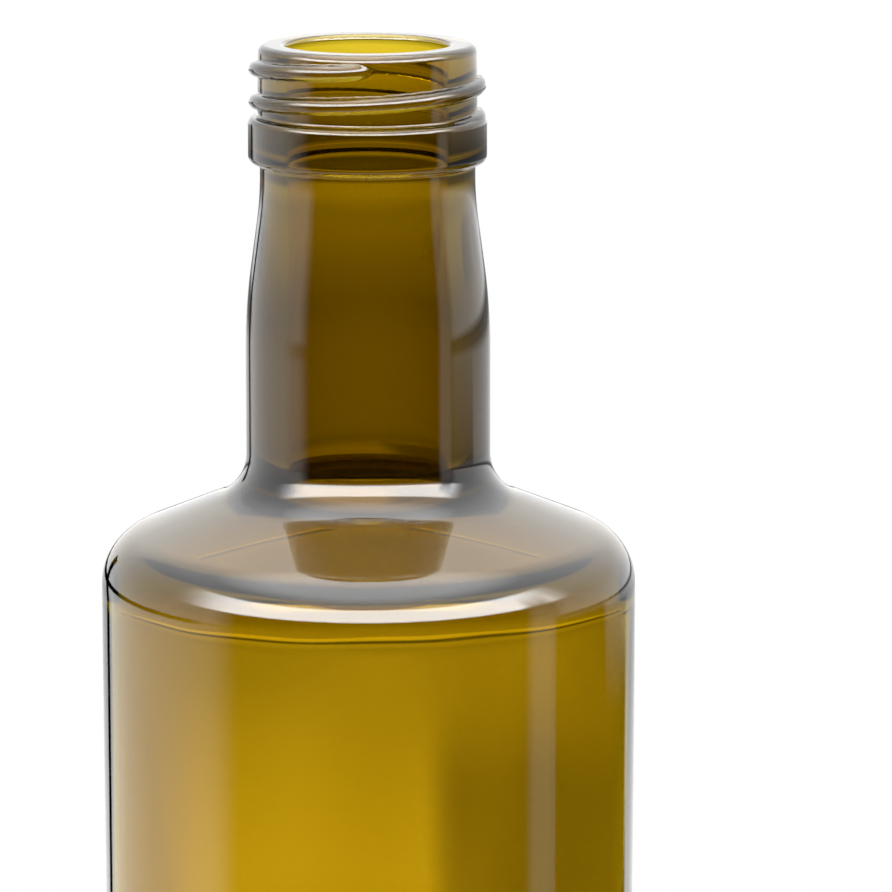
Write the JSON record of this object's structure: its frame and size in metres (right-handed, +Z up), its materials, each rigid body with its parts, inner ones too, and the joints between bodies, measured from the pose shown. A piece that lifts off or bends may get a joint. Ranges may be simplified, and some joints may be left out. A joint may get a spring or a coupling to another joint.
{
  "type": "glass oil bottle",
  "caption": "Round amber glass oil bottle with straight body, low shoulder, swelling neck, collar and screw thread; its screw cap and pouring insert stand loose beside the foot.",
  "frame": {"origin": "centre of the bottle's foot, on the plane of its bearing ring", "axes": "+Z up along the bottle's axis, out of the mouth; the front, where the thread starts, faces -Y; the loose cap stands to +X, the pouring insert to -X"},
  "size_m": [0.1526, 0.0747, 0.228],
  "materials": {
    "amber_glass": "clear moulded amber glass, fire-polished",
    "pourer_plastic": "natural low-density polyethylene, moulded",
    "lacquered_aluminium": "drawn aluminium, satin gold lacquer",
    "insert_plastic": "white polypropylene, moulded",
    "liner_foam": "white expanded polyethylene foam disc"
  },
  "bodies": {
    "bottle": {"glass_bottle": "amber_glass"},
    "cap": {"cap_shell": "lacquered_aluminium", "cap_thread_insert": "insert_plastic", "cap_liner": "liner_foam"},
    "pourer": {"pourer_insert": "pourer_plastic"}
  },
  "joints": [
    {"name": "cap_lift", "type": "slide", "parent": "bottle", "child": "cap", "axis": [0, 0, 1], "range_m": [0, 0.23]},
    {"name": "pourer_lift", "type": "slide", "parent": "bottle", "child": "pourer", "axis": [0, 0, 1], "range_m": [0, 0.23]}
  ]
}
